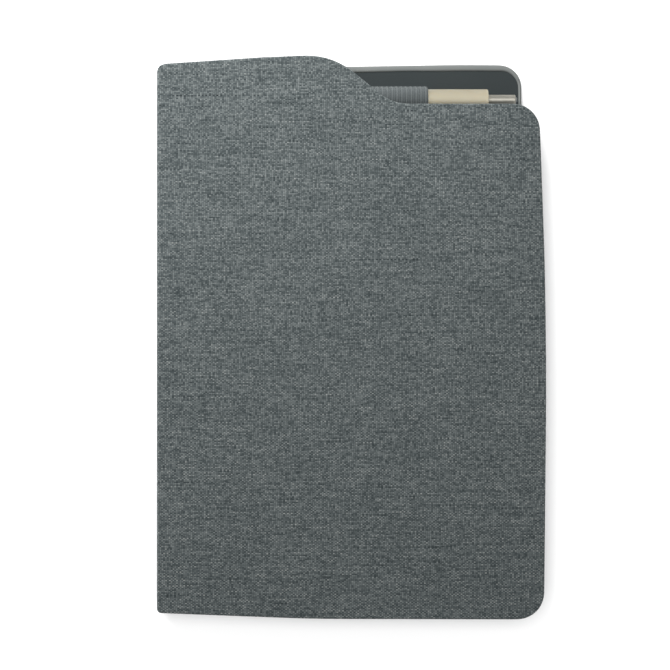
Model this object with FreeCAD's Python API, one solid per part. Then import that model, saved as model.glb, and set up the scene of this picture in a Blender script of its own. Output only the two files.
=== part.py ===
import FreeCAD, Part
import math
import os

# Book-style tablet case lying on its back, millimetres. +Y points to the pen end,
# the spine is along -X, Z = 0 is the back face, and the origin is the centre of the
# footprint. Every piece is written as its own STEP file.

V = FreeCAD.Vector

# Layer thicknesses
SKIN = 0.6             # woven outer fabric
BACK_BOARD = 1.2
LINING = 0.4           # microfibre
FOAM = 0.6
COVER_BOARD = 1.2
BINDING_WALL = 0.7
BINDING_WIDTH = 2.35   # of the edge binding on the lining
BINDING_SKEW = 0.55    # wider than that on the top edge, narrower on the others

# Heights of the back panel's layers
Z_BOARD = SKIN
Z_LINING = Z_BOARD + BACK_BOARD
Z_PANEL = Z_LINING + LINING
Z_BINDING = Z_PANEL + 0.7

# Spine and its two folds
SPINE_X = -99.5
FOLD = 0.3             # fold axis, in from both outer faces
FOLD_X = SPINE_X + FOLD
STIFF_X = -97.0        # where the stiff layers of both covers start
SPINE_BOARD = 1.0
SPINE_Y0 = -138.6
SPINE_Y1 = 135.4
THICK = 18.0           # closed case

# Heights of the front cover's layers
Z_COVER = THICK - SKIN - FOAM - COVER_BOARD - LINING
Z_COVER_BOARD = Z_COVER + LINING
Z_COVER_FOAM = Z_COVER_BOARD + COVER_BOARD
Z_COVER_SKIN = Z_COVER_FOAM + FOAM

# Outlines: (x, y, corner radius)
COVER = [
    (SPINE_X, 139.6, 4.5),
    (-45.7, 143.15, 150.0),
    (-10.0, 144.6, 37.0),
    (21.1, 119.4, 21.7),
    (96.1, 119.4, 13.8),
    (99.0, 38.0, 1500.0),
    (99.85, -20.0, 2500.0),
    (98.6, -144.4, 13.8),
    (-20.0, -144.1, 900.0),
    (SPINE_X, -141.1, 1.8),
]
BACK = [
    (SPINE_X, 139.4, 4.5),
    (-50.0, 140.2, 300.0),
    (55.0, 141.9, 300.0),
    (88.4, 141.7, 11.5),
    (88.8, 115.0, 300.0),
    (88.8, -138.7, 11.5),
    (SPINE_X, -138.7, 1.8),
]

# Tablet tray: the slab-shaped space for an 11-inch-class tablet
TABLET_X = 178.5
TABLET_Y = 247.6
TABLET_Z = 7.0
TABLET_CLEARANCE = 0.4
TABLET_RADIUS = 17.0
TRAY_CX = -3.95
TRAY_CY = -11.9
TRAY_WALL = 1.8
TRAY_FLOOR = 1.5
TRAY_GLUE = 0.15
TRAY_STEP = 0.7        # the tray's edge steps over the binding
LINER = 0.5
LIP = 1.2              # inward reach of the tray's lip
LIP_HEIGHT = 1.3
Z_TRAY = Z_PANEL + TRAY_GLUE
Z_LINER = Z_TRAY + TRAY_FLOOR
Z_TABLET = Z_LINER + LINER
Z_LIP = Z_TABLET + TABLET_Z + 0.1
Z_TRAY_TOP = Z_LIP + LIP_HEIGHT

# Camera window
WINDOW_X = 66.0
WINDOW_Y = 92.0
WINDOW_SIZE = 32.0
WINDOW_RADIUS = 9.0
RING_WALL = 1.2

# Pen loop and stylus
PEN_Y = 122.5
PEN_R = 5.4
PEN_GAP = 0.1
LOOP_THICK = 1.1
LOOP_BASE = 0.8        # of the loop, under the stylus
LOOP_X0 = 8.9
LOOP_X1 = 39.5
LOOP_FOOT = 1.2
LOOP_FOOT_HEIGHT = 0.8
PEN_Z = Z_PANEL + LOOP_BASE + PEN_GAP + PEN_R
STITCH_PITCH = 2.5
STITCH_LENGTH = 1.6
PEN_X0 = -64.7         # closed end
BARREL_X0 = -61.7
BARREL_X1 = 70.6
BARREL_BORE = 4.4
NOSE_R = 2.6
NOSE_X1 = 84.7
NIB_SHANK_R = 0.8
NIB_CLEARANCE = 0.05
NIB_TRAVEL = 0.3

# Magnets in the free edge of the front cover
MAGNET_X = 90.0
MAGNET_Y = [-90.0, -20.0, 50.0]
MAGNET_SIZE = (6.0, 20.0, 0.9)


def rounded(corners):
    """Closed wire through (x, y, radius) corners, each rounded with a tangent arc."""
    count = len(corners)
    arcs = []
    for i in range(count):
        x, y, radius = corners[i]
        point = V(x, y, 0)
        before = V(corners[i - 1][0], corners[i - 1][1], 0)
        after = V(corners[(i + 1) % count][0], corners[(i + 1) % count][1], 0)
        to_before = (before - point).normalize()
        to_after = (after - point).normalize()
        half = to_before.getAngle(to_after) / 2
        reach = radius / math.tan(half)
        middle = (to_before + to_after).normalize()
        top = point + middle * (radius / math.sin(half) - radius)
        arcs.append((point + to_before * reach, top, point + to_after * reach))
    edges = []
    for i in range(count):
        start, top, end = arcs[i]
        edges.append(Part.Arc(start, top, end).toShape())
        following = arcs[(i + 1) % count][0]
        if end.distanceToPoint(following) > 1e-6:
            edges.append(Part.makeLine(end, following))
    return Part.Wire(edges)


def slab(corners, z0, z1, inset=0.0):
    """Flat layer between two heights, its edge set in from the outline."""
    face = Part.Face(rounded(corners))
    if inset:
        face = face.makeOffset2D(-inset)
    face.translate(V(0, 0, z0))
    return face.extrude(V(0, 0, z1 - z0))


def block(x0, x1, y0, y1, z0, z1):
    return Part.makeBox(x1 - x0, y1 - y0, z1 - z0, V(x0, y0, z0))


def rectangle(cx, cy, width, height, radius):
    """Corners of a rounded rectangle about a centre."""
    x = width / 2
    y = height / 2
    signs = [(-1, 1), (1, 1), (1, -1), (-1, -1)]
    return [(cx + x * sx, cy + y * sy, radius) for sx, sy in signs]


def left_of(x, z0, z1):
    """Everything on the spine's side of x, for cutting."""
    return block(-120, x, -160, 160, z0, z1)


def camera_window(z0, z1, inset=0.0):
    return slab(rectangle(WINDOW_X, WINDOW_Y, WINDOW_SIZE, WINDOW_SIZE, WINDOW_RADIUS), z0, z1, inset)


def tray_outline(outset):
    """The tablet's space grown sideways by a distance."""
    grow = 2 * (TABLET_CLEARANCE + outset)
    radius = TABLET_RADIUS + outset
    return rectangle(TRAY_CX, TRAY_CY, TABLET_X + grow, TABLET_Y + grow, radius)


def back_binding():
    """Edge binding round the three free sides: a wall, and a strip lying on the lining."""
    body = slab(BACK, 0, Z_BINDING)
    body = body.cut(slab(BACK, -1, Z_PANEL, BINDING_WALL))
    inside = [(x + BINDING_SKEW * (x > 0), y - BINDING_SKEW, radius) for x, y, radius in BACK]
    body = body.cut(slab(inside, Z_PANEL, Z_BINDING + 1, BINDING_WIDTH))
    return body.cut(left_of(STIFF_X + 0.3, -1, Z_BINDING + 1))


def back_fabric():
    sheet = slab(BACK, 0, SKIN).cut(back_binding())
    sheet = sheet.cut(left_of(FOLD_X, -1, SKIN + 1))
    return sheet.cut(camera_window(-1, SKIN + 1))


def back_layer(z0, z1):
    """Stiff layer inside the binding's wall."""
    layer = slab(BACK, z0, z1, BINDING_WALL)
    layer = layer.cut(left_of(STIFF_X, z0 - 1, z1 + 1))
    return layer.cut(camera_window(z0 - 1, z1 + 1))


def camera_ring():
    return camera_window(0, Z_PANEL).cut(camera_window(-1, Z_PANEL + 1, RING_WALL))


def tray_adhesive():
    film = slab(tray_outline(-6.0), Z_PANEL, Z_TRAY)
    return film.cut(camera_window(Z_PANEL - 1, Z_TRAY + 1, RING_WALL))


def wall_slots():
    """Cut-outs for the tablet's port, speakers and keys."""
    y_low = TRAY_CY - TABLET_Y / 2
    y_high = TRAY_CY + TABLET_Y / 2
    x_high = TRAY_CX + TABLET_X / 2
    z0 = Z_TABLET + 1.2
    z1 = Z_TABLET + TABLET_Z - 1.2
    slots = [block(TRAY_CX - 7, TRAY_CX + 7, y_low - 4, y_low + 1, z0, z1)]
    for side in (-1, 1):
        x = TRAY_CX + side * 52
        slots.append(block(x - 15, x + 15, y_low - 4, y_low + 1, z0 + 0.8, z1 - 0.8))
        slots.append(block(x - 15, x + 15, y_high - 1, y_high + 4, z0 + 0.8, z1 - 0.8))
    slots.append(block(x_high - 1, x_high + 4, y_high - 62, y_high - 34, z0, z1))
    return slots


def tray():
    """Moulded tray: stepped floor, walls, inward lip and cut-outs."""
    z_step = Z_TRAY + TRAY_STEP
    body = slab(tray_outline(TRAY_WALL), z_step, Z_TRAY_TOP)
    body = body.fuse(slab(tray_outline(TRAY_WALL - 4.0), Z_TRAY, z_step))
    body = body.cut(slab(tray_outline(0), Z_LINER, Z_LIP))
    body = body.cut(slab(tray_outline(-LIP), Z_LIP, Z_TRAY_TOP + 1))
    body = body.cut(camera_window(Z_TRAY - 1, Z_LINER + 1, RING_WALL))
    for slot in wall_slots():
        body = body.cut(slot)
    return body.removeSplitter()


def tray_liner():
    sheet = slab(tray_outline(-1.0), Z_LINER, Z_TABLET)
    return sheet.cut(camera_window(Z_LINER - 1, Z_TABLET + 1, RING_WALL))


def along_x(corners, x0, x1):
    """Bar along X with a (y, z) cross-section."""
    bar = Part.Face(rounded(corners)).extrude(V(0, 0, x1 - x0))
    bar.rotate(V(0, 0, 0), V(1, 1, 1), 120)
    bar.translate(V(x0, PEN_Y, 0))
    return bar


def arch(radius, z_base):
    """Cross-section of an upright arch over the pen's axis."""
    z_top = PEN_Z + radius
    return [(-radius, z_base, 1.0), (radius, z_base, 1.0), (radius, z_top, radius), (-radius, z_top, radius)]


def pen_loop():
    """Closed elastic loop with a sewn foot on each side."""
    inner_r = PEN_R + PEN_GAP
    outer_r = inner_r + LOOP_THICK
    outer = along_x(arch(outer_r, Z_PANEL), LOOP_X0, LOOP_X1)
    reach = outer_r + LOOP_FOOT
    feet = block(LOOP_X0, LOOP_X1, PEN_Y - reach, PEN_Y + reach, Z_PANEL, Z_PANEL + LOOP_FOOT_HEIGHT)
    inner = along_x(arch(inner_r, Z_PANEL + LOOP_BASE), LOOP_X0 - 1, LOOP_X1 + 1)
    return outer.fuse(feet).cut(inner).removeSplitter()


def loop_stitches():
    """Thread stitches on the loop's two feet."""
    offset = PEN_R + PEN_GAP + LOOP_THICK + LOOP_FOOT / 2
    z = Z_PANEL + LOOP_FOOT_HEIGHT
    stitches = []
    count = int((LOOP_X1 - LOOP_X0) / STITCH_PITCH)
    first = (LOOP_X0 + LOOP_X1 - (count - 1) * STITCH_PITCH) / 2
    for i in range(count):
        x = first + i * STITCH_PITCH
        for side in (-1, 1):
            y = PEN_Y + side * offset
            half = STITCH_LENGTH / 2
            stitches.append(block(x - half, x + half, y - 0.2, y + 0.2, z, z + 0.3))
    return Part.makeCompound(stitches)


def spine_layer(x0, x1, margin):
    """Upright layer of the spine."""
    return block(x0, x1, SPINE_Y0 + margin, SPINE_Y1 - margin, SKIN + margin, Z_COVER_SKIN - margin)


def cover_fabric():
    """Outer sheet of the front cover with its edge turned down on the free sides."""
    body = slab(COVER, Z_COVER, THICK)
    body = body.cut(slab(COVER, Z_COVER - 1, Z_COVER_SKIN, SKIN))
    body = body.cut(left_of(STIFF_X, Z_COVER - 1, Z_COVER_SKIN))
    return body.cut(left_of(FOLD_X, Z_COVER - 1, THICK + 1))


def cover_layer(z0, z1):
    """Layer inside the front cover's fabric."""
    return slab(COVER, z0, z1, SKIN).cut(left_of(STIFF_X, z0 - 1, z1 + 1))


def cover_magnets():
    width, length, height = MAGNET_SIZE
    bars = []
    for y in MAGNET_Y:
        z0 = Z_COVER_FOAM - height
        x0 = MAGNET_X - width / 2
        bars.append(block(x0, x0 + width, y - length / 2, y + length / 2, z0, Z_COVER_FOAM))
    return Part.makeCompound(bars)


def cover_board():
    return cover_layer(Z_COVER_BOARD, Z_COVER_FOAM).cut(cover_magnets())


def rod(radius, x0, x1):
    """Round bar on the pen's axis."""
    return Part.makeCylinder(radius, x1 - x0, V(x0, PEN_Y, PEN_Z), V(1, 0, 0))


def eased(shape, radius, x):
    """Round the circular edges of a turned piece that lie at x."""
    edges = [e for e in shape.Edges if abs(e.BoundBox.XMin - x) < 1e-4 and abs(e.BoundBox.XMax - x) < 1e-4]
    return shape.makeFillet(radius, edges)


def stylus_barrel():
    body = eased(rod(PEN_R, BARREL_X0, BARREL_X1), 0.6, BARREL_X1)
    return body.cut(rod(BARREL_BORE, BARREL_X0 - 1, BARREL_X1 + 1))


def stylus_end_cap():
    head = eased(rod(PEN_R, PEN_X0, BARREL_X0), 1.8, PEN_X0)
    return head.fuse(rod(BARREL_BORE, BARREL_X0, BARREL_X0 + 3)).removeSplitter()


def stylus_nose():
    """Narrow nose with a plug inside the barrel and a bore for the nib."""
    shaft = eased(rod(NOSE_R, BARREL_X1, NOSE_X1), 0.5, NOSE_X1)
    body = shaft.fuse(rod(BARREL_BORE, BARREL_X1 - 4, BARREL_X1))
    bore = rod(NIB_SHANK_R + NIB_CLEARANCE, NOSE_X1 - 10, NOSE_X1 + 1)
    return body.cut(bore).removeSplitter()


def stylus_nib():
    """Tip with a shank that slides in the nose's bore."""
    head_x = NOSE_X1 + NIB_TRAVEL + 0.05
    head = eased(rod(1.25, head_x, head_x + 0.6), 0.4, head_x + 0.6)
    return head.fuse(rod(NIB_SHANK_R, NOSE_X1 - 9.5, head_x)).removeSplitter()


def stylus_cartridge():
    return rod(BARREL_BORE - 0.1, BARREL_X0 + 3.2, BARREL_X1 - 4.2)


PIECES = {
    "back_fabric": back_fabric(),
    "back_board": back_layer(Z_BOARD, Z_LINING),
    "back_lining": back_layer(Z_LINING, Z_PANEL),
    "back_binding": back_binding(),
    "camera_ring": camera_ring(),
    "tray_adhesive": tray_adhesive(),
    "tray": tray(),
    "tray_liner": tray_liner(),
    "pen_loop": pen_loop(),
    "loop_stitches": loop_stitches(),
    "spine_fabric": spine_layer(SPINE_X, SPINE_X + SKIN, 0.0),
    "spine_board": spine_layer(SPINE_X + SKIN, SPINE_X + SKIN + SPINE_BOARD, 1.8),
    "spine_lining": spine_layer(SPINE_X + SKIN + SPINE_BOARD, SPINE_X + SKIN + SPINE_BOARD + LINING, 0.3),
    "cover_fabric": cover_fabric(),
    "cover_foam": cover_layer(Z_COVER_FOAM, Z_COVER_SKIN),
    "cover_board": cover_board(),
    "cover_magnets": cover_magnets(),
    "cover_lining": cover_layer(Z_COVER, Z_COVER_BOARD),
    "stylus_barrel": stylus_barrel(),
    "stylus_end_cap": stylus_end_cap(),
    "stylus_nose": stylus_nose(),
    "stylus_cartridge": stylus_cartridge(),
    "stylus_nib": stylus_nib(),
}

os.makedirs("parts", exist_ok=True)
for name, shape in PIECES.items():
    shape.exportStep("parts/" + name + ".step")
    box = shape.BoundBox
    print(name, len(shape.Solids), shape.isValid(), round(shape.Volume, 1),
          [round(v, 2) for v in (box.XMin, box.XMax, box.YMin, box.YMax, box.ZMin, box.ZMax)])
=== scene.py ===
import math
import bmesh
import bpy
import numpy as np
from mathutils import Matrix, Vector, geometry, noise


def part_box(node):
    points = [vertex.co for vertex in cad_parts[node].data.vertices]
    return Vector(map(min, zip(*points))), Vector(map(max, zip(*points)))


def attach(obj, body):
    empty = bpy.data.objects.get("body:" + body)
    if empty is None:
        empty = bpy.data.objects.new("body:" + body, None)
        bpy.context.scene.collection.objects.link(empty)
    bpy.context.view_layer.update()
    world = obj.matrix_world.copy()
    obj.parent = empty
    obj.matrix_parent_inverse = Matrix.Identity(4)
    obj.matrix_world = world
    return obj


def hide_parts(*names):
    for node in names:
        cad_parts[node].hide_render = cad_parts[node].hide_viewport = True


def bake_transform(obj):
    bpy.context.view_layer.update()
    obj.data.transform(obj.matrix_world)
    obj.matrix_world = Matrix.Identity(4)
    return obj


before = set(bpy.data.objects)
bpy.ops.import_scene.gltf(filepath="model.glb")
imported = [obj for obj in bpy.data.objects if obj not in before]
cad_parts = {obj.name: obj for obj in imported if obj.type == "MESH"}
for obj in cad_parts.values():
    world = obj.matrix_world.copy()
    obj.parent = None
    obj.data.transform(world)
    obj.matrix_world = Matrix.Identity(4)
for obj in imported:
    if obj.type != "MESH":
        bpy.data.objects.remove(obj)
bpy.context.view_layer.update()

# Meshes are worked out in millimetres and scaled when they are made. The stage is in metres.
# Z = 0 is the underside of the back, and the spine is at the low end of X.
MM = 0.001


def node_box(name):
    """Lowest and highest corners of a CAD node, in millimetres."""
    low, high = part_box(name)
    return np.array(low) * 1000, np.array(high) * 1000


COVER_LOW, COVER_HIGH = node_box("cover_fabric")
SPINE_LOW, SPINE_HIGH = node_box("spine_fabric")
SPINE_IN = node_box("spine_lining")[1][0]
THICK = COVER_HIGH[2]  # closed case
COVER_T = THICK - COVER_LOW[2]  # padded front cover
BACK_T = node_box("back_lining")[1][2]  # stiffened back
SPINE_T = SPINE_IN - SPINE_LOW[0] + 0.1  # spine
FOLD_T = 1.2  # sheets alone, in a fold
LINING_T = 0.3
LINING_LAP = 0.04  # the lining's hidden face sinks into the skin
BEND_R = 2.0  # outside radius of both folds
BEND_X = SPINE_LOW[0] + BEND_R  # where a cover starts to bend
BEND_END = BEND_X - BEND_R * math.pi / 2  # where the bend ends, in the unrolled sheet
SEAM_RUN = 2.5  # from the bend's end to the seam on the spine
SEAM_U = BEND_END - SEAM_RUN
SEAM_TOP = THICK - BEND_R - SEAM_RUN
SEAM_BOTTOM = BEND_R + SEAM_RUN
SEAM_STEP = 0.8  # mesh rows along a fold
FOLD_STEP = 0.35  # mesh columns across a fold
FINE_END = BEND_X + 1.5  # the fine mesh ends here
EDGE_POWER = 3.0  # superellipse of a wrapped edge: 2 is round
LINING_MARGIN = 2.6  # border of skin left round the cover's lining
BACK_MARGIN = 0.9  # the same on the back
WARP_PITCH = 0.945
WEFT_PITCH = 0.712
CORD_PITCH = 1.23  # cords of the elastic


# ---------------------------------------------------------------- materials

class Shader:
    """Small helper for building a node material."""

    def __init__(self, name):
        self.material = bpy.data.materials.new(name)
        self.material.use_nodes = True
        self.tree = self.material.node_tree
        self.tree.nodes.clear()
        self.bsdf = self.node("ShaderNodeBsdfPrincipled")
        out = self.node("ShaderNodeOutputMaterial")
        self.tree.links.new(self.bsdf.outputs[0], out.inputs[0])

    def node(self, kind, **settings):
        n = self.tree.nodes.new(kind)
        for key, value in settings.items():
            setattr(n, key, value)
        return n

    def put(self, value, socket):
        if isinstance(value, bpy.types.NodeSocket):
            self.tree.links.new(value, socket)
        elif isinstance(value, tuple) and len(socket.default_value) == 4:
            socket.default_value = (*value, 1.0)
        else:
            socket.default_value = value

    def math(self, operation, a, b=0.0, c=0.0, clamp=False):
        n = self.node("ShaderNodeMath", operation=operation, use_clamp=clamp)
        for value, socket in zip((a, b, c), n.inputs):
            self.put(value, socket)
        return n.outputs[0]

    def add(self, a, b):
        return self.math("ADD", a, b)

    def mul(self, a, b):
        return self.math("MULTIPLY", a, b)

    def mad(self, a, b, c):
        return self.math("MULTIPLY_ADD", a, b, c)

    def vector(self, x=0.0, y=0.0, z=0.0):
        n = self.node("ShaderNodeCombineXYZ")
        for value, socket in zip((x, y, z), n.inputs):
            self.put(value, socket)
        return n.outputs[0]

    def split(self, vector):
        n = self.node("ShaderNodeSeparateXYZ")
        self.put(vector, n.inputs[0])
        return n.outputs

    def noise(self, vector, scale=1.0, detail=2.0, rough=0.5):
        n = self.node("ShaderNodeTexNoise")
        self.put(vector, n.inputs["Vector"])
        n.inputs["Scale"].default_value = scale
        n.inputs["Detail"].default_value = detail
        n.inputs["Roughness"].default_value = rough
        return n.outputs["Fac"]

    def white_noise(self, vector):
        n = self.node("ShaderNodeTexWhiteNoise", noise_dimensions="3D")
        self.put(vector, n.inputs["Vector"])
        return n.outputs["Value"]

    def mix(self, factor, a, b):
        n = self.node("ShaderNodeMix", data_type="RGBA")
        self.put(factor, n.inputs["Factor"])
        self.put(a, n.inputs[6])
        self.put(b, n.inputs[7])
        return n.outputs[2]

    def mix_value(self, factor, a, b):
        n = self.node("ShaderNodeMix", data_type="FLOAT")
        self.put(factor, n.inputs[0])
        self.put(a, n.inputs[2])
        self.put(b, n.inputs[3])
        return n.outputs[0]

    def ramp(self, value, stops):
        n = self.node("ShaderNodeValToRGB")
        self.put(value, n.inputs[0])
        elements = n.color_ramp.elements
        while len(elements) < len(stops):
            elements.new(0.5)
        for element, (position, colour) in zip(elements, stops):
            element.position = position
            element.color = (*colour, 1.0)
        return n.outputs[0]

    def bump(self, height, distance, strength):
        n = self.node("ShaderNodeBump")
        n.inputs["Strength"].default_value = strength
        n.inputs["Distance"].default_value = distance
        self.put(height, n.inputs["Height"])
        return n.outputs[0]

    def finish(self, colour, roughness, normal=None, metallic=0.0, sheen=0.0, specular=0.5):
        self.put(colour, self.bsdf.inputs["Base Color"])
        self.put(roughness, self.bsdf.inputs["Roughness"])
        self.bsdf.inputs["Metallic"].default_value = metallic
        self.bsdf.inputs["Sheen Weight"].default_value = sheen
        self.bsdf.inputs["Specular IOR Level"].default_value = specular
        if normal is not None:
            self.put(normal, self.bsdf.inputs["Normal"])
        return self.material

    def thread_uv(self):
        """Surface coordinates in millimetres, stored on the mesh."""
        n = self.node("ShaderNodeUVMap", uv_map="Thread")
        return self.split(n.outputs[0])

    def object_mm(self):
        """Object coordinates in millimetres."""
        n = self.node("ShaderNodeTexCoord")
        return self.scale(n.outputs["Object"], 1000.0)

    def scale(self, vector, factor):
        n = self.node("ShaderNodeVectorMath", operation="SCALE")
        self.put(vector, n.inputs[0])
        self.put(factor, n.inputs["Scale"])
        return n.outputs[0]


def srgb(*levels):
    """8-bit display colour to the linear values the shader takes."""
    return tuple(((c / 255 + 0.055) / 1.055) ** 2.4 for c in levels)


def melange_weave():
    """Grey melange plain weave: each float has its own mix of fibre, and yarns run in slubs."""
    s = Shader("melange_weave")
    u, v, _ = s.thread_uv()

    def along_yarn(x, y, seed, detail=3.0, rough=0.6):
        return s.noise(s.vector(x, y, seed), 1.0, detail, rough)

    # Yarn numbers i and j, and where a point is across each yarn; the yarns wander by a millimetre or so
    across = s.math("DIVIDE", s.mad(s.noise(s.vector(u, v), 0.045, 2.0), 1.6, u), WARP_PITCH)
    along = s.math("DIVIDE", s.mad(s.noise(s.vector(v, u), 0.045, 2.0), 1.4, v), WEFT_PITCH)
    i = s.math("FLOOR", across)
    j = s.math("FLOOR", along)
    round_a = s.math("COSINE", s.mul(s.add(s.math("FRACT", across), -0.5), math.pi))
    round_b = s.math("COSINE", s.mul(s.add(s.math("FRACT", along), -0.5), math.pi))
    warp_up = s.math("FLOORED_MODULO", s.add(i, j), 2.0)

    # Tone: slubs and dashes along each yarn, thin dark wefts, thick light warps, then float by float
    warp_slub = along_yarn(s.mul(i, 3.71), s.mul(v, 0.11), 1.0)
    weft_slub = along_yarn(s.mul(u, 0.05), s.mul(j, 4.37), 7.0)
    dash = along_yarn(s.mul(u, 0.3), s.mul(j, 5.13), 11.0, 1.0, 0.5)
    weft_tone = s.add(s.mad(weft_slub, 0.42, -0.21), s.mad(dash, 0.22, -0.11))
    slub = s.mix_value(warp_up, weft_tone, s.mad(warp_slub, 0.12, -0.06))
    thin_weft = along_yarn(s.mul(u, 0.02), s.mul(j, 0.83), 13.0, 1.0, 0.5)
    thick_warp = along_yarn(s.mul(i, 0.91), s.mul(v, 0.03), 17.0, 1.0, 0.5)
    streak = s.mix_value(warp_up, s.mul(s.math("SUBTRACT", thin_weft, 0.6, clamp=True), -0.75),
                         s.mul(s.math("SUBTRACT", thick_warp, 0.62, clamp=True), 0.10))
    float_mix = s.white_noise(s.vector(i, j, warp_up))
    warp_fibre = along_yarn(s.mul(u, 5.0), s.mul(v, 2.2), 3.0, 2.0)
    weft_fibre = along_yarn(s.mul(u, 1.2), s.mul(v, 6.0), 5.0, 2.0)
    fibre = s.mix_value(warp_up, weft_fibre, warp_fibre)
    patches = s.noise(s.vector(u, v), 0.03, 3.0)
    tone = s.add(s.add(slub, streak), s.mad(float_mix, 0.175, 0.4225))
    contrast = s.mad(v, -0.0003, 0.05)
    tone = s.mad(s.math("SUBTRACT", 0.5, warp_up), contrast, tone)
    tone = s.add(tone, s.mad(fibre, 0.175, -0.0875))
    tone = s.add(tone, s.mad(patches, 0.05, -0.025))
    colour = s.ramp(tone, [(0.24, srgb(47, 55, 58)), (0.40, srgb(85, 95, 97)), (0.50, srgb(119, 128, 129)),
                           (0.60, srgb(153, 161, 161)), (0.76, srgb(200, 204, 201))])

    # Relief: the float on top is rounded both ways, and painted shade darkens the gaps between floats
    rise = s.mix_value(warp_up, s.mul(round_b, s.mad(round_a, 0.5, 0.5)),
                       s.mul(round_a, s.mad(round_b, 0.5, 0.5)))
    gap = s.math("SUBTRACT", rise, 0.28, clamp=True)
    # painted shade: the colour is scaled down in the low gaps between floats
    shade = s.math("MULTIPLY_ADD", gap, 0.6, 0.55, clamp=True)
    fuzz = s.noise(s.vector(u, v), 4.5, 2.0)
    normal = s.bump(s.add(rise, s.mul(fuzz, 0.35)), 0.0002, 0.85)
    return s.finish(s.scale(colour, shade), 0.93, normal, sheen=0.12, specular=0.2)


def microfibre(name, base, light):
    """Short brushed nap with faint clouding."""
    s = Shader(name)
    p = s.object_mm()
    nap = s.noise(p, 2.2, 3.0, 0.7)
    cloud = s.noise(p, 0.03, 3.0)
    colour = s.mix(s.mad(nap, 0.5, s.mul(cloud, 0.5)), base, light)
    normal = s.bump(nap, 0.00006, 0.5)
    return s.finish(colour, 0.95, normal, sheen=0.1, specular=0.15)


def soft_polymer(name, base, light, grain=1.4, roughness=0.55, depth=0.00003):
    """Moulded or coated soft plastic with a fine grain and slight wear."""
    s = Shader(name)
    p = s.object_mm()
    fine = s.noise(p, grain, 3.0, 0.6)
    cloud = s.noise(p, 0.06, 3.0)
    colour = s.mix(cloud, base, light)
    rough = s.mad(fine, 0.2, roughness - 0.1)
    return s.finish(colour, rough, s.bump(fine, depth, 0.6), specular=0.4)


def let_light_in(material, depth):
    """Lets light scatter under the surface, to a depth in metres, as in pale plastic."""
    inputs = material.node_tree.nodes["Principled BSDF"].inputs
    inputs["Subsurface Weight"].default_value = 1.0
    inputs["Subsurface Radius"].default_value = (1.0, 0.9, 0.75)
    inputs["Subsurface Scale"].default_value = depth


def elastic():
    """Ribbed elastic webbing: cords that run round the pen, crossed by fine yarns."""
    s = Shader("ribbed_elastic")
    u, v, _ = s.thread_uv()
    cord = s.math("COSINE", s.mul(u, 2 * math.pi / CORD_PITCH))
    pair = s.math("COSINE", s.mul(u, math.pi / CORD_PITCH))
    weft = s.math("COSINE", s.mul(v, 2 * math.pi / 0.5))
    fibre = s.noise(s.vector(s.mul(u, 2.0), s.mul(v, 0.8)), 1.0, 3.0, 0.6)
    tone = s.add(s.mad(cord, 0.05, 0.33), s.add(s.mul(pair, 0.06), s.mul(fibre, 0.30)))
    colour = s.ramp(tone, [(0.15, srgb(56, 62, 64)), (0.5, srgb(94, 100, 101)),
                           (0.85, srgb(128, 133, 133))])
    height = s.add(s.mul(cord, 0.4), s.add(s.mul(weft, 0.25), s.mul(fibre, 0.4)))
    return s.finish(colour, 0.85, s.bump(height, 0.00008, 0.8), sheen=0.1, specular=0.25)


def turned_metal():
    """Satin metal with fine turning marks round the axis."""
    s = Shader("turned_metal")
    p = s.object_mm()
    x, _, _ = s.split(p)
    rings = s.noise(s.vector(x, 0.0, 0.0), 9.0, 2.0)
    smudge = s.noise(p, 0.4, 3.0)
    colour = s.mix(smudge, srgb(168, 166, 156), srgb(186, 183, 172))
    return s.finish(colour, s.mad(rings, 0.12, 0.38), s.bump(rings, 0.00002, 0.4), metallic=0.6)


def fibre_board():
    """Grey-brown pressed board."""
    s = Shader("fibre_board")
    p = s.object_mm()
    grain = s.noise(p, 1.1, 4.0, 0.7)
    colour = s.mix(grain, srgb(120, 112, 100), srgb(164, 156, 142))
    return s.finish(colour, 0.95, s.bump(grain, 0.00005, 0.5), specular=0.1)


def plated():
    """Scuffed nickel plate."""
    s = Shader("nickel_plate")
    scuff = s.noise(s.object_mm(), 1.5, 4.0, 0.7)
    colour = s.mix(scuff, srgb(170, 170, 172), srgb(206, 206, 208))
    return s.finish(colour, s.mad(scuff, 0.25, 0.15), metallic=1.0)


def twisted_thread():
    """Sewing thread with slanting plies."""
    s = Shader("twisted_thread")
    p = s.object_mm()
    ply = s.node("ShaderNodeTexWave", bands_direction="DIAGONAL")
    s.put(p, ply.inputs["Vector"])
    ply.inputs["Scale"].default_value = 1.2
    fibre = s.noise(p, 4.0, 2.0)
    blend = s.mad(fibre, 0.6, s.mul(ply.outputs["Fac"], 0.4))
    colour = s.mix(blend, srgb(112, 119, 120), srgb(168, 172, 170))
    return s.finish(colour, 0.8, s.bump(ply.outputs["Fac"], 0.00005, 0.7), specular=0.3)


WEAVE = melange_weave()
NAP = microfibre("lining_nap", srgb(59, 65, 66), srgb(68, 74, 75))
FELT = microfibre("tray_felt", srgb(66, 72, 74), srgb(80, 86, 88))
BINDING = soft_polymer("binding_pu", srgb(127, 132, 131), srgb(143, 146, 144), 2.0, 0.6)
TPU = soft_polymer("tray_tpu", srgb(52, 57, 59), srgb(60, 65, 67), 3.0, 0.6)
BEZEL = soft_polymer("window_ring", srgb(56, 61, 63), srgb(66, 71, 73), 3.0, 0.5)
ELASTIC = elastic()
THREAD = twisted_thread()
CREAM = soft_polymer("barrel_satin", srgb(196, 188, 166), srgb(203, 196, 174), 1.6, 0.6, 0.00001)
let_light_in(CREAM, 0.004)
METAL = turned_metal()
TIP = soft_polymer("tip_plastic", srgb(120, 124, 124), srgb(140, 143, 142), 3.0, 0.5)
CORE = soft_polymer("cartridge_plastic", srgb(60, 72, 62), srgb(74, 84, 74), 2.0, 0.6)
GLUE = soft_polymer("adhesive_film", srgb(200, 196, 180), srgb(210, 206, 192), 0.8, 0.4)
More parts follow.
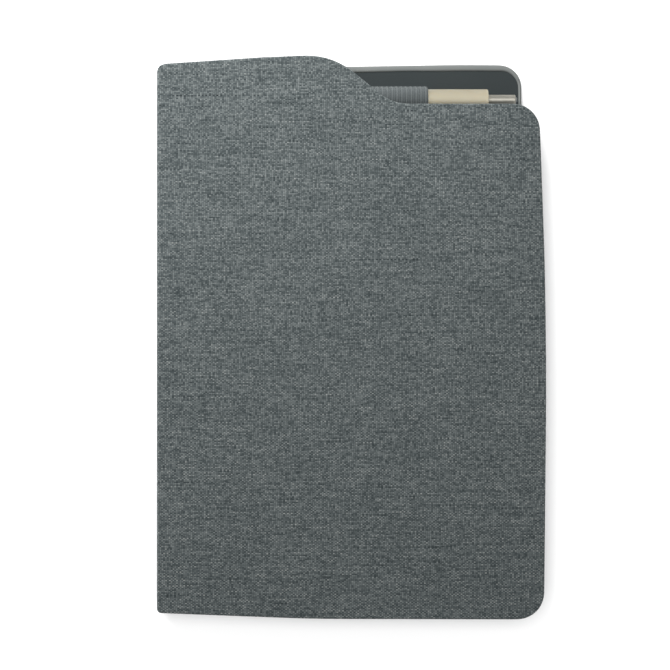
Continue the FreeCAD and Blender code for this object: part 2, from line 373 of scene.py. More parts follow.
FOAM = soft_polymer("closed_cell_foam", srgb(70, 72, 72), srgb(84, 86, 86), 1.2, 0.9, 0.0001)
BOARD = fibre_board()
NICKEL = plated()


# ---------------------------------------------------------------- mesh helpers

def add_object(name, data):
    obj = bpy.data.objects.new(name, data)
    bpy.context.scene.collection.objects.link(obj)
    return obj


def face_outward(mesh):
    bm = bmesh.new()
    bm.from_mesh(mesh)
    bmesh.ops.recalc_face_normals(bm, faces=bm.faces)
    bm.to_mesh(mesh)
    bm.free()


def add_piece(name, verts, faces, body, material, uv=None, flip=False, fix_normals=False):
    mesh = bpy.data.meshes.new(name)
    if flip:
        faces = [tuple(reversed(f)) for f in faces]
    mesh.from_pydata((np.asarray(verts, float) * MM).tolist(), [], [tuple(map(int, f)) for f in faces])
    if uv is not None:
        layer = mesh.uv_layers.new(name="Thread")
        index = np.empty(len(mesh.loops), dtype=np.int32)
        mesh.loops.foreach_get("vertex_index", index)
        layer.data.foreach_set("uv", np.asarray(uv, float)[index].ravel())
    if fix_normals:
        face_outward(mesh)
    mesh.shade_smooth()
    mesh.materials.append(material)
    obj = add_object(name, mesh)
    if body:
        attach(obj, body)
    return obj


def apply_modifiers(obj):
    """Replaces the mesh with its evaluated result and clears the modifiers."""
    evaluated = obj.evaluated_get(bpy.context.evaluated_depsgraph_get())
    mesh = bpy.data.meshes.new_from_object(evaluated)
    obj.modifiers.clear()
    obj.data = mesh
    mesh.shade_smooth()


def stack_faces(rings, sides, closed=False):
    """Faces that join equal rings of vertices one after another, with flat ends unless closed."""
    faces = []
    for k in range(rings if closed else rings - 1):
        a, b = k * sides, (k + 1) % rings * sides
        for i in range(sides):
            j = (i + 1) % sides
            faces.append((a + i, a + j, b + j, b + i))
    if not closed:
        faces += [tuple(range(sides)), tuple(range((rings - 1) * sides, rings * sides))]
    return faces


def sharpen(obj, degrees):
    """Keeps edges steeper than an angle crisp under smooth shading."""
    obj.data.set_sharp_from_angle(angle=math.radians(degrees))


def face_loops(node, side):
    """Border loops of a CAD node's flat top (1) or bottom (-1), in millimetres, longest first."""
    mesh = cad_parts[node].data
    keys = [tuple(round(c * 1000, 3) for c in v.co) for v in mesh.vertices]
    level = max(k[2] * side for k in keys)
    follow = {}
    for polygon in mesh.polygons:
        ids = [keys[i] for i in polygon.vertices]
        if min(k[2] * side for k in ids) < level - 0.002:
            continue
        for a, b in zip(ids, ids[1:] + ids[:1]):
            if follow.get(b) and a in follow[b]:
                follow[b].remove(a)
            else:
                follow.setdefault(a, []).append(b)
    follow = {a: ends[0] for a, ends in follow.items() if ends}
    found = []
    while follow:
        start = min(follow)
        loop = [start]
        here = follow.pop(start)
        while here != start:
            loop.append(here)
            here = follow.pop(here)
        found.append(np.array(loop)[:, :2])
    found.sort(key=lambda p: -abs(area(p)))
    return [p if area(p) > 0 else p[::-1] for p in found]


def area(points):
    """Signed area of a closed outline, positive when it runs anticlockwise."""
    x, y = np.asarray(points).T
    return 0.5 * float(np.sum(x * np.roll(y, -1) - np.roll(x, -1) * y))


def run_length(points):
    """Distance from the first point to each point of a path."""
    return np.concatenate([[0], np.cumsum(np.linalg.norm(np.diff(points, axis=0), axis=1))])


def resample(points, step, closed=False, passes=3):
    """Even spacing along a path, then light smoothing to take out facets."""
    points = np.asarray(points, float)
    if closed:
        points = np.vstack([points, points[:1]])
    length = run_length(points)
    count = max(int(round(length[-1] / step)), 8)
    at = np.linspace(0, length[-1], count + 1)
    out = np.column_stack([np.interp(at, length, points[:, k]) for k in range(points.shape[1])])
    if closed:
        out = out[:-1]
    for _ in range(passes):
        smooth = (np.roll(out, 1, 0) + 2 * out + np.roll(out, -1, 0)) / 4
        if not closed:
            smooth[0], smooth[-1] = out[0], out[-1]
        out = smooth
    return out


def left_normals(points, closed=False):
    """Unit normals to the left of the direction of travel."""
    if closed:
        tangent = np.roll(points, -1, 0) - np.roll(points, 1, 0)
    else:
        tangent = np.gradient(points, axis=0)
    tangent /= np.linalg.norm(tangent, axis=1)[:, None]
    return np.column_stack([-tangent[:, 1], tangent[:, 0]])


def inside(points, polygon):
    """Which points lie inside a closed outline."""
    x, y = points[:, 0], points[:, 1]
    result = np.zeros(len(points), bool)
    for (x0, y0), (x1, y1) in zip(polygon, np.roll(polygon, -1, 0)):
        crosses = ((y0 > y) != (y1 > y)) & (x < (x1 - x0) * (y - y0) / (y1 - y0 + 1e-12) + x0)
        result ^= crosses
    return result


def distance(points, to):
    """Distance from each point to the nearest of some others."""
    return np.concatenate([
        np.sqrt(((block[:, None, :] - to[None, :, :]) ** 2).sum(2)).min(1)
        for block in np.array_split(points, max(len(points) // 400, 1))])


def smooth_step(t):
    t = np.clip(t, 0, 1)
    return t * t * (3 - 2 * t)


def fill(border, inner_points, holes=()):
    """Triangles over a closed border, with given points inside it."""
    loops = [np.asarray(border)] + [np.asarray(h) for h in holes]
    verts, edges, offset = [], [], 0
    for loop in loops:
        verts += [Vector(p) for p in loop]
        edges += [(offset + k, offset + (k + 1) % len(loop)) for k in range(len(loop))]
        offset += len(loop)
    verts += [Vector(p) for p in inner_points]
    out, _, faces, origin, _, _ = geometry.delaunay_2d_cdt(verts, edges, [], 0, 1e-6)
    points = np.array([tuple(v) for v in out])
    back = np.array([ids[0] if ids else -1 for ids in origin])
    corner = points[np.array(faces)]
    side = corner - np.roll(corner, 1, 1)
    height = np.abs(side[:, 0, 0] * side[:, 1, 1] - side[:, 0, 1] * side[:, 1, 0])
    height /= np.linalg.norm(side, axis=2).max(1)
    centre = corner.mean(1)
    # Slivers between border points in a straight line are left out
    keep = inside(centre, loops[0]) & (height > 0.001)
    for hole in loops[1:]:
        keep &= ~inside(centre, hole)
    flat = np.array([tuple(v) for v in verts])
    return flat, [tuple(back[list(f)]) for f, k in zip(faces, keep) if k]


def scatter(border, step, holes=(), fine_to=None):
    """Points on a staggered grid inside a border, denser across the fold."""
    low, high = border.min(0), border.max(0)
    rows = []
    for k, y in enumerate(np.arange(low[1] + step / 2, high[1], step * 0.87)):
        x = np.arange(low[0] + (k % 2) * step / 2, high[0], step)
        if fine_to is not None:
            x = x[x > fine_to + step * 0.3]
        rows.append(np.column_stack([x, np.full(len(x), y)]))
    if fine_to is not None:
        x, y = np.meshgrid(np.arange(low[0] + 0.3, fine_to, FOLD_STEP),
                           np.arange(low[1], high[1], SEAM_STEP))
        rows.append(np.column_stack([x.ravel(), y.ravel()]))
    points = np.vstack(rows)
    points = points[inside(points, border)]
    fine = points[:, 0] < (-np.inf if fine_to is None else fine_to)
    gap = np.where(fine, 0.3, 0.6 * min(step, 1.6))
    near = distance(points, border)
    for hole in holes:
        near = np.minimum(near, np.where(inside(points, hole), 0, distance(points, hole)))
    return points[near > gap]


# ---------------------------------------------------------------- covers and folds

def place(u, y, depth, front):
    """Puts a point of the unrolled sheet on the case: flat cover, round fold, then down the spine."""
    phi = np.clip((BEND_X - u) / BEND_R, 0, math.pi / 2)
    x = np.maximum(u, BEND_X) - BEND_R * np.sin(phi)
    z = THICK - BEND_R * (1 - np.cos(phi)) - np.maximum(BEND_END - u, 0)
    x = x + np.sin(phi) * depth
    z = z - np.cos(phi) * depth
    if not front:
        z = THICK - z
    return np.column_stack([x, y, z])


def core(u, front, shy=0.0):
    """Thickness of a panel: full on the boards, thin at the fold; shy widens and thins the fold."""
    board = COVER_T if front else BACK_T
    on_cover = smooth_step((u - BEND_X + 0.7 - shy) / 1.4)
    on_spine = smooth_step((BEND_END + 0.5 - shy - u) / 1.2)
    fold = FOLD_T - 0.4 * shy
    return fold + (board - fold) * on_cover + (SPINE_T - fold) * on_spine


def open_border(loop):
    """Outline of a sheet from the spine's foot round to its head, without the straight side on the spine."""
    left = loop[:, 0].min() + 0.02
    start = min((i for i in range(len(loop)) if loop[i, 0] < left), key=lambda i: loop[i, 1])
    run = np.roll(loop, -start, 0)
    stop = max((i for i in range(len(run)) if run[i, 0] < left), key=lambda i: run[i, 1])
    return run[:stop + 1]


def free_edge(loop):
    """Free border of a cover in the unrolled sheet, from the seam's foot to its head."""
    run = open_border(loop)
    phi = np.arcsin(np.clip((BEND_X - run[:, 0]) / BEND_R, 0, 1))
    u = np.where(run[:, 0] < BEND_X, BEND_X - BEND_R * phi, run[:, 0])
    path = np.column_stack([u, run[:, 1]])
    foot, head = SPINE_LOW[1], SPINE_HIGH[1]
    path = np.vstack([[SEAM_U, foot], [BEND_END, foot], path, [BEND_END, head], [SEAM_U, head]])
    return resample(path, 1.0)


def edge_profile():
    """Rounded-square edge of a wrapped board, as (inset, depth) points for a half-thickness of 1."""
    angle = np.linspace(math.pi / 2, -math.pi / 2, 13)
    inset = 1 - np.abs(np.cos(angle)) ** (2 / EDGE_POWER)
    depth = 1 - np.sign(angle) * np.abs(np.sin(angle)) ** (2 / EDGE_POWER)
    return np.column_stack([inset, depth])


def panel(name, path, thickness, surface, front, material, puff=0.0, step=2.6, holes=()):
    """Closed padded sheet: a filled face, a rounded border along the path, and a filled underside.

    thickness(u, near) is the sheet's own thickness, near being the distance in from its border, and
    surface(u, h) the depth of a point h below its face."""
    normals = left_normals(path)
    radius = thickness(path[:, 0], 0) / 2
    rings, uvs = [], []
    ring0 = path + normals * radius[:, None]
    profile = edge_profile()
    run = run_length(profile)
    for (d, h), length in zip(profile, run):
        flat = path + normals * (radius * d)[:, None]
        rings.append(place(flat[:, 0], flat[:, 1], surface(flat[:, 0], radius * h), front))
        uvs.append(ring0 - normals * (radius * length)[:, None])
    count = len(path)
    head, foot = ring0[-1, 1], ring0[0, 1]
    seam = np.linspace(head, foot, int((head - foot) / SEAM_STEP))[1:-1]
    seam = np.column_stack([np.full(len(seam), ring0[0, 0]), seam])
    border = np.vstack([ring0, seam])
    inner = scatter(border, step, holes, FINE_END)
    flat, faces = fill(border, inner, holes)
    near = distance(flat, ring0)
    calm = smooth_step((flat[:, 0] - BEND_X - 1.0) / 25) * (1 - np.exp(-near / 13))
    wave = np.array([noise.noise(Vector((x / 46, y / 60, 3.0 if front else 9.0))) for x, y in flat])
    lift = puff * calm * (1 + 0.55 * wave)
    top = place(flat[:, 0], flat[:, 1], surface(flat[:, 0], -lift), front)
    low = place(flat[:, 0], flat[:, 1], surface(flat[:, 0], thickness(flat[:, 0], near)), front)
    # The underside takes its threads from another part of the weave
    verts = [top] + rings[1:-1] + [low]
    uv = [flat] + uvs[1:-1] + [flat + np.array([7.3, 3.1])]
    starts = [0]
    for block in verts[:-1]:
        starts.append(starts[-1] + len(block))
    low_start = starts[-1]
    all_faces = list(faces) + [tuple(low_start + i for i in reversed(f)) for f in faces]
    for a, b in zip(starts, starts[1:]):
        all_faces += [(a + k, b + k, b + k + 1, a + k + 1) for k in range(count - 1)]
    # One face closes the sheet along its seam
    n_seam = len(seam)
    cap = [s + count - 1 for s in reversed(starts)]
    cap += [count + k for k in range(n_seam)] + starts
    cap += [low_start + count + k for k in reversed(range(n_seam))]
    all_faces.append(tuple(cap))
    offset = count + n_seam
    for hole in holes:
        n = len(hole)
        for k in range(n):
            a, b = offset + k, offset + (k + 1) % n
            all_faces.append((b, a, low_start + a, low_start + b))
        offset += n
    uv = np.vstack(uv)
    if not front:
        # The weave runs on from the front cover, down the spine and under the back
        uv[:, 0] = -(THICK - 2 * BEND_R - 2 * SEAM_RUN) + 2 * SEAM_U - uv[:, 0]
    obj = add_piece(name, np.vstack(verts), all_faces, None, material, uv, flip=not front)
    sharpen(obj, 50)
    return obj


def outer_panel(name, path, front, holes=()):
    """Woven skin of a padded cover, on through the fold to its seam."""
    def thickness(u, near):
        return core(u, front, 0.4 * smooth_step(near / 2)) - LINING_T

    def surface(u, h):
        return h + 0 * u

    return panel(name, path, thickness, surface, front, WEAVE,
                 puff=0.45 if front else 0.0, holes=holes)


def lining_panel(name, path, front, margin, holes=()):
    """Lining of a padded cover, set in from the skin's border."""
    inset = path + left_normals(path) * margin
    inset = resample(inset[distance(inset, path) > margin * 0.985], 1.2)

    def thickness(u, near):
        return LINING_T + LINING_LAP + 0 * u

    def surface(u, h):
        return core(u, front) - h

    obj = panel(name, inset, thickness, surface, front, NAP, holes=holes, step=4.0)
    obj.data.flip_normals()
    return obj


def spine_panel(name, thickness, surface, material, margin=0.0):
    """Upright strip between the two seams, with rounded ends. surface(h) is the depth of a point h in."""
    foot, head = SPINE_LOW[1] + margin, SPINE_HIGH[1] - margin
    r = thickness / 2
    # (y, depth, thread v) round one level: head end, inner side, foot end, outer side
    head_end = [(head - r * (1 - math.cos(a)), r * (1 - math.sin(a)), head - r + r * (math.pi / 2 - a))
                for a in np.radians(np.arange(90, -91, -18))]
    inner = [(y, thickness, y) for y in np.linspace(head - r, foot + r, 111)[1:-1]]
    foot_end = [(foot + r * (1 - math.cos(a)), r * (1 - math.sin(a)), foot + r - r * (math.pi / 2 - a))
                for a in np.radians(np.arange(-90, 91, 18))]
    outer = [(y, 0.0, y) for y in np.linspace(foot + r, head - r, 111)[1:-1]]
    ring = np.array(head_end + inner + foot_end + outer)
    levels = np.linspace(SEAM_TOP, SEAM_BOTTOM, 6)
    verts, uv = [], []
    for z in levels:
        x = SPINE_LOW[0] + surface(ring[:, 1])
        verts.append(np.column_stack([x, ring[:, 0], np.full(len(ring), z)]))
        uv.append(np.column_stack([np.full(len(ring), SEAM_U - (SEAM_TOP - z)), ring[:, 2]]))
    faces = stack_faces(len(levels), len(ring))
    obj = add_piece(name, np.vstack(verts), faces, "spine", material, np.vstack(uv), fix_normals=True)
    sharpen(obj, 50)
    return obj


cover_path = free_edge(face_loops("cover_fabric", 1)[0])
back_loops = face_loops("back_fabric", -1)
back_path = free_edge(back_loops[0])
window = resample(back_loops[1], 1.2, closed=True)

cover_skin = outer_panel("cover_skin", cover_path, True)
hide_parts("cover_fabric")
cover_inner = lining_panel("cover_inner", cover_path, True, LINING_MARGIN)
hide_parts("cover_lining")
back_skin = outer_panel("back_skin", back_path, False, [window])
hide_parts("back_fabric")
back_inner = lining_panel("back_inner", back_path, False, BACK_MARGIN, [window])
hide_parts("back_lining")
spine_skin = spine_panel("spine_skin", SPINE_T - LINING_T, lambda h: h, WEAVE)
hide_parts("spine_fabric")
spine_inner = spine_panel("spine_inner", LINING_T + LINING_LAP, lambda h: SPINE_T - h,
                          NAP, LINING_MARGIN)
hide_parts("spine_lining")


def fold_blend(obj, front):
    """Bakes a cover sheet's placement into its mesh; both covers are treated the same."""
    if front:
        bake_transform(obj)
    else:
        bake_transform(obj)


for piece in (cover_skin, cover_inner):
    fold_blend(piece, True)
for piece in (back_skin, back_inner):
    fold_blend(piece, False)


# ---------------------------------------------------------------- swept pieces

def sweep(name, path, section, body, material, closed=False, vary=None):
    """Carries a closed section of (inward, z) points along a path; inward is to the path's left.

    vary(run, inward, d, z) may move a section point at a place on the path."""
    normals = left_normals(path, closed)
    verts, uv = [], []
    run = run_length(path)
    for k, (p, n) in enumerate(zip(path, normals)):
        for q, (d, z) in enumerate(section):
            if vary:
                d, z = vary(run[k], n, d, z)
            verts.append((p[0] + n[0] * d, p[1] + n[1] * d, z))
            uv.append((run[k], q * 0.5))
    faces = stack_faces(len(path), len(section), closed)
    return add_piece(name, verts, faces, body, material, uv, fix_normals=True)


# Edge binding round the back: a soft strip wrapped over the sheet's edge, from outside to inside
BINDING_PROUD = 0.7  # how far it stands out from the sheet
BINDING_SKEW = 0.86  # extra width inside the head, taken off along the open side
HEAD_TRIM = 0.36  # width taken off outside the head
binding_low, binding_high = node_box("back_binding")
rim = resample(open_border(back_loops[0]), 1.0)
rim = rim - left_normals(rim) * BINDING_PROUD
rim = rim[rim[:, 0] > binding_low[0]]
top = binding_high[2]
BINDING_SECTION = [
    (0.0, 0.9), (0.0, 1.9), (0.1, top - 0.4), (0.34, top - 0.13), (0.8, top), (1.5, top + 0.02),
    (1.95, top - 0.05), (2.25, top - 0.18), (2.48, top - 0.4), (2.68, top - 0.68), (2.45, 1.6),
    (1.9, 0.7), (1.85, 0.0), (1.7, -0.17), (1.3, -0.22), (0.6, -0.2), (0.2, 0.1)]


def wander(s, inward, d, z):
    """Fits the strip's width to the side it is on, with a slow drift of its inner edge."""
    drift = noise.noise(Vector((s / 26, 0.5, 1.5)))
    edge = noise.noise(Vector((s / 9, 4.5, 2.5)))
    if d < 1.0:
        d = d + HEAD_TRIM * max(-inward[1], 0.0)
    if d > 1.2 and z > 1.0:
        d = d + BINDING_SKEW * (inward[0] - inward[1]) + 0.3 * drift + 0.12 * edge
    if z > 1.5:
        z = z + 0.05 * edge
    return d, z


binding = sweep("edge_binding", rim, BINDING_SECTION, "back", BINDING, vary=wander)
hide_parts("back_binding")

# Camera window ring, lipped on both faces
RING_IN = 1.2
RING_SECTION = [
    (-0.9, 0.0), (-0.8, -0.28), (-0.4, -0.4), (0.6, -0.4), (1.0, -0.28), (RING_IN, 0.0),
    (RING_IN, BACK_T - 0.1), (1.1, BACK_T + 0.1), (0.7, BACK_T + 0.14), (-0.5, BACK_T + 0.14),
    (-0.6, BACK_T - 0.1), (0.05, BACK_T - 0.2), (0.05, 0.15)]
ring = sweep("camera_bezel", window, RING_SECTION, "back", BEZEL, closed=True)
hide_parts("camera_ring")


# ---------------------------------------------------------------- tray

tray_low, tray_high = node_box("tray")
tray_loops = face_loops("tray", 1)
TRAY_WALL = 1.8
TRAY_FOOT = 2.4  # underside of the tray's floor
recess = resample(tray_loops[0], 2.0, closed=True, passes=2)
recess = recess + left_normals(recess, True) * TRAY_WALL
z_floor = node_box("tray_liner")[0][2]
z_top = tray_high[2]
WALL_SECTION = [
    (0.0, z_floor - 0.2), (0.0, z_top - 1.5), (0.25, z_top - 1.3), (1.05, z_top - 1.15), (1.2, z_top - 0.9),
    (1.12, z_top - 0.5), (0.7, z_top - 0.15), (0.0, z_top), (-0.9, z_top - 0.02), (-1.5, z_top - 0.3),
    (-TRAY_WALL, z_top - 0.95), (-TRAY_WALL, 4.2), (-1.7, 3.4), (-1.3, 3.05), (1.5, 3.05), (2.2, 2.9),
    (2.2, TRAY_FOOT), (6.0, TRAY_FOOT), (6.0, z_floor - 0.02), (1.2, z_floor), (0.35, z_floor + 0.06)]
tray = sweep("tray_shell", recess, WALL_SECTION, "back", TPU, closed=True)
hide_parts("tray")


def slot_cutter(x0, x1, y0, y1, z0, z1, along_x):
    """Stadium-shaped prism through a tray wall."""
    r = (z1 - z0) / 2
    a0, a1 = (x0, x1) if along_x else (y0, y1)
    profile = []
    for centre, angles in ((a1 - r, np.arange(-90, 91, 15)), (a0 + r, np.arange(90, 271, 15))):
        profile += [(centre + r * math.cos(a), (z0 + z1) / 2 + r * math.sin(a)) for a in np.radians(angles)]
    b0, b1 = (y0, y1) if along_x else (x0, x1)
    verts = [(a, b, z) if along_x else (b, a, z) for b in (b0, b1) for a, z in profile]
    mesh = bpy.data.meshes.new("cutter")
    mesh.from_pydata((np.array(verts) * MM).tolist(), [], stack_faces(2, len(profile)))
    face_outward(mesh)
    return add_object("cutter", mesh)


# Slots: one for the port at the foot, one on the open side, and two by the corners of each short side
PORT_HALF = 7.0
SIDE_SLOT = (64.0, 36.0)  # its ends, down from the head
CORNER_SLOT_X = 52.0  # from the tray's middle
CORNER_SLOT_HALF = 15.0
mid_x = (tray_low[0] + tray_high[0]) / 2
z0, z1 = z_floor + 1.7, z_top - 2.6
y_low, y_high, x_high = tray_low[1], tray_high[1], tray_high[0]
cutters = [slot_cutter(mid_x - PORT_HALF, mid_x + PORT_HALF, y_low - 2, y_low + 2.5, z0, z1, True),
           slot_cutter(x_high - 2.5, x_high + 2, y_high - SIDE_SLOT[0], y_high - SIDE_SLOT[1], z0, z1, False)]
for x in (mid_x - CORNER_SLOT_X, mid_x + CORNER_SLOT_X):
    x0, x1 = x - CORNER_SLOT_HALF, x + CORNER_SLOT_HALF
    for y0, y1 in ((y_low - 2, y_low + 2.5), (y_high - 2.5, y_high + 2)):
        cutters.append(slot_cutter(x0, x1, y0, y1, z0 + 0.8, z1 - 0.8, True))
for cutter in cutters:
    modifier = tray.modifiers.new("slot", "BOOLEAN")
    modifier.operation = "DIFFERENCE"
    modifier.solver = "EXACT"
    modifier.object = cutter
bpy.context.view_layer.update()
apply_modifiers(tray)
sharpen(tray, 40)
for cutter in cutters:
    bpy.data.objects.remove(cutter)


def flat_sheet(name, border, z0, z1, material, holes):
    """Thin closed sheet on the back, with softened edges."""
    r = min(0.2, (z1 - z0) / 2)
    normals = left_normals(border, True)
    ring0 = border + normals * r
    hole_in = [h - left_normals(h, True) * r for h in holes]
    flat, faces = fill(ring0, scatter(ring0, 6.0, hole_in), hole_in)
    top = np.column_stack([flat, np.full(len(flat), z1)])
    low = np.column_stack([flat, np.full(len(flat), z0)])
    m, n = len(flat), len(border)
    verts = [top, low, np.column_stack([border, np.full(n, z1 - r)]),
             np.column_stack([border, np.full(n, z0 + r)])]
    all_faces = list(faces) + [tuple(m + i for i in reversed(f)) for f in faces]
    for k in range(n):
        j = (k + 1) % n
        all_faces.append((k, 2 * m + k, 2 * m + j, j))
        all_faces.append((2 * m + k, 2 * m + n + k, 2 * m + n + j, 2 * m + j))
        all_faces.append((2 * m + n + k, m + k, m + j, 2 * m + n + j))
    offset = n
    for hole in hole_in:
        c = len(hole)
        for k in range(c):
            a, b = offset + k, offset + (k + 1) % c
            all_faces.append((b, a, m + a, m + b))
        offset += c
    obj = add_piece(name, np.vstack(verts), all_faces, "back", material, fix_normals=True)
    sharpen(obj, 50)
    return obj


def inside_recess(gap):
    """The recess's outline, set in by a gap."""
    return resample(recess + left_normals(recess, True) * gap, 2.0, closed=True, passes=0)


window_in = [window + left_normals(window, True) * RING_IN]
floor_plate = flat_sheet("tray_floor", inside_recess(2.0), TRAY_FOOT - 0.04, z_floor - 0.01,
                         TPU, window_in)
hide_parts("tray")
liner_top = node_box("tray_liner")[1][2]
liner = flat_sheet("tray_felt", inside_recess(1.0), z_floor, liner_top,
                   FELT, window_in)
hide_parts("tray_liner")


# ---------------------------------------------------------------- pen loop

loop_low, loop_high = node_box("pen_loop")
barrel_low, barrel_high = node_box("stylus_barrel")
PEN_Y = (barrel_low[1] + barrel_high[1]) / 2
PEN_Z = (barrel_low[2] + barrel_high[2]) / 2
PEN_R = (barrel_high[1] - barrel_low[1]) / 2
PEN_GAP = 0.1  # between the pen and its loop
BAND_T = loop_high[2] - PEN_Z - PEN_R - PEN_GAP
BAND_R = PEN_R + PEN_GAP + BAND_T / 2  # the band's middle line
Z_BASE = loop_low[2]
FOOT = (loop_high[1] - loop_low[1]) / 2  # from the pen's axis to the end of a sewn foot


def loop_path():
    """Centre line of the band in (y, z): foot, side, round over the pen, side, foot."""
    half = [(-FOOT, Z_BASE + 0.42), (-FOOT + 0.5, Z_BASE + 0.42), (-BAND_R - 0.35, Z_BASE + 0.46),
            (-BAND_R - 0.06, Z_BASE + 0.75), (-BAND_R, Z_BASE + 1.3), (-BAND_R, PEN_Z - 1.5)]
    arc = [(BAND_R * -math.cos(a), PEN_Z + BAND_R * math.sin(a)) for a in np.linspace(0, math.pi, 40)]
    return resample(np.array(half + arc + [(-y, z) for y, z in reversed(half)]), 0.35)


def ribbed_band(name, path, x0, x1, thickness, rib):
    """Webbing: a path in (y, z) drawn out along X, with raised cords and rounded selvedges."""
    normals = left_normals(path)
    step = 0.15
    xs = np.arange(x0, x1 + step / 2, step)
    edge = np.minimum(xs - x0, x1 - xs)
    pinch = np.sqrt(np.clip(1 - (1 - np.clip(edge / 0.45, 0, 1)) ** 2, 0.02, 1))
    cord = 0.5 + 0.5 * np.cos(2 * math.pi * (xs - x0) / CORD_PITCH)
    pair = 0.5 + 0.5 * np.cos(math.pi * (xs - x0) / CORD_PITCH)
    lift = rib * (0.7 * cord + 0.3 * pair)
    run = run_length(path)
    weft = 0.03 * np.cos(run * 2 * math.pi / 0.9)
    n_path, n_x = len(path), len(xs)
    sheets = []
    for side in (1, -1):
        sheet = np.zeros((n_path, n_x, 3))
        for k in range(n_path):
            relief = lift + weft[k] - rib if side > 0 else 0.0
            h = side * (thickness / 2 + relief) * pinch
            sheet[k] = np.column_stack([xs, PEN_Y + path[k, 0] + normals[k, 0] * h,
                                        path[k, 1] + normals[k, 1] * h])
        sheets.append(sheet.reshape(-1, 3))
    verts = np.vstack(sheets)
    uv = np.column_stack([np.tile(xs - x0, 2 * n_path), np.tile(np.repeat(run, n_x), 2)])
    faces = []
    m = n_path * n_x
    for k in range(n_path - 1):
        for i in range(n_x - 1):
            a = k * n_x + i
            faces.append((a, a + 1, a + n_x + 1, a + n_x))
            faces.append((m + a, m + a + n_x, m + a + n_x + 1, m + a + 1))
        for i in (0, n_x - 1):
            a = k * n_x + i
            faces.append((a, a + n_x, m + a + n_x, m + a))
    for k in (0, n_path - 1):
        for i in range(n_x - 1):
            a = k * n_x + i
            faces.append((a, a + 1, m + a + 1, m + a))
    return add_piece(name, verts, faces, "back", ELASTIC, uv, fix_normals=True)


band = ribbed_band("loop_band", loop_path(), loop_low[0], loop_high[0], BAND_T - 0.1, 0.16)
base_path = resample([(-BAND_R + 0.6, Z_BASE + 0.45), (BAND_R - 0.6, Z_BASE + 0.45)], 0.5)
base = ribbed_band("loop_base", base_path[::-1], loop_low[0] + 0.2, loop_high[0] - 0.2, 0.8, 0.1)
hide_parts("pen_loop")
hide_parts("pen_loop")


def tube(points, radius, sides=8):
    """Vertices and faces of a round tube with pinched ends, along points in space."""
    points = np.array(points)
    tangent = np.gradient(points, axis=0)
    tangent /= np.linalg.norm(tangent, axis=1)[:, None]
    side = np.cross(tangent, [0, 0, 1])
    side /= np.linalg.norm(side, axis=1)[:, None]
    up = np.cross(side, tangent)
    taper = np.ones(len(points))
    taper[0] = taper[-1] = 0.55
    verts = []
    for p, s, w, t in zip(points, side, up, taper):
        for a in np.linspace(0, 2 * math.pi, sides, endpoint=False):
            verts.append(p + radius * t * (s * math.cos(a) + w * math.sin(a)))
    return verts, stack_faces(len(points), sides)


def stitch_rows():
    """Two rows of stitches, each diving into the band's foot at both ends."""
    verts, faces = [], []
    y_off = FOOT - 0.62
    z = Z_BASE + 0.51
    x = loop_low[0] + 1.2
    while x < loop_high[0] - 1.5:
        for side in (-1, 1):
            points = [(x + t * 1.75, PEN_Y + side * (y_off + 0.1 * t),
                       z + 0.42 * math.sin(math.pi * t) ** 0.5) for t in np.linspace(0.0, 1.0, 9)]
            v, f = tube(points, 0.2)
            faces += [tuple(i + len(verts) for i in face) for face in f]
            verts += v
        x += 2 * CORD_PITCH
    return verts, faces


verts, faces = stitch_rows()
thread = add_piece("loop_thread", verts, faces, "back", THREAD, fix_normals=True)
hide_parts("loop_stitches")


# ---------------------------------------------------------------- stylus

def lathe(name, profile, body, material, sides=72):
    """Turned piece on the pen's axis from (x, radius) points, with flat ends."""
    verts, uv = [], []
    for x, r in profile:
        for a in np.linspace(0, 2 * math.pi, sides, endpoint=False):
            verts.append((x, PEN_Y + r * math.cos(a), PEN_Z + r * math.sin(a)))
            uv.append((x, a * PEN_R))
    faces = stack_faces(len(profile), sides)
    obj = add_piece(name, verts, faces, body, material, uv, fix_normals=True)
    sharpen(obj, 35)
    return obj


def rounded(x, r, size, angles):
    """Round shoulder of a profile that ends at x; angle 0 is on radius r, and pi / 2 is on the end face."""
    return [(x - size * (1 - math.sin(a)), r - abs(size) * (1 - math.cos(a))) for a in angles]


bx0, bx1 = barrel_low[0], barrel_high[0]
cap_x0 = node_box("stylus_end_cap")[0][0]
nose_x1 = node_box("stylus_nose")[1][0]
nib_low, nib_high = node_box("stylus_nib")
NOSE_R = 2.6
NIB_R = 1.25
QUARTER = np.linspace(0, math.pi / 2, 7)

profile = [(bx0 + 0.02, PEN_R - 0.8), (bx0 + 0.02, PEN_R - 0.25), (bx0 + 0.12, PEN_R - 0.07),
           (bx0 + 0.35, PEN_R)]
profile += [(x, PEN_R) for x in np.linspace(bx0 + 10, bx1 - 8, 12)]
profile += rounded(bx1, PEN_R, 0.75, QUARTER)
profile += [(bx1, NOSE_R + 0.35), (bx1 - 0.3, NOSE_R + 0.2), (bx1 - 0.3, NOSE_R - 0.3)]
barrel = lathe("barrel", profile, "stylus", CREAM)
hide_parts("stylus_barrel")

profile = [(cap_x0, 0.6)] + rounded(cap_x0, PEN_R, -2.4, np.linspace(math.pi / 2, 0, 9))
profile += [(bx0 - 0.3, PEN_R), (bx0 - 0.1, PEN_R - 0.08), (bx0, PEN_R - 0.25), (bx0, PEN_R - 0.8)]
cap = lathe("end_cap", profile, "stylus", CREAM)
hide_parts("stylus_end_cap")

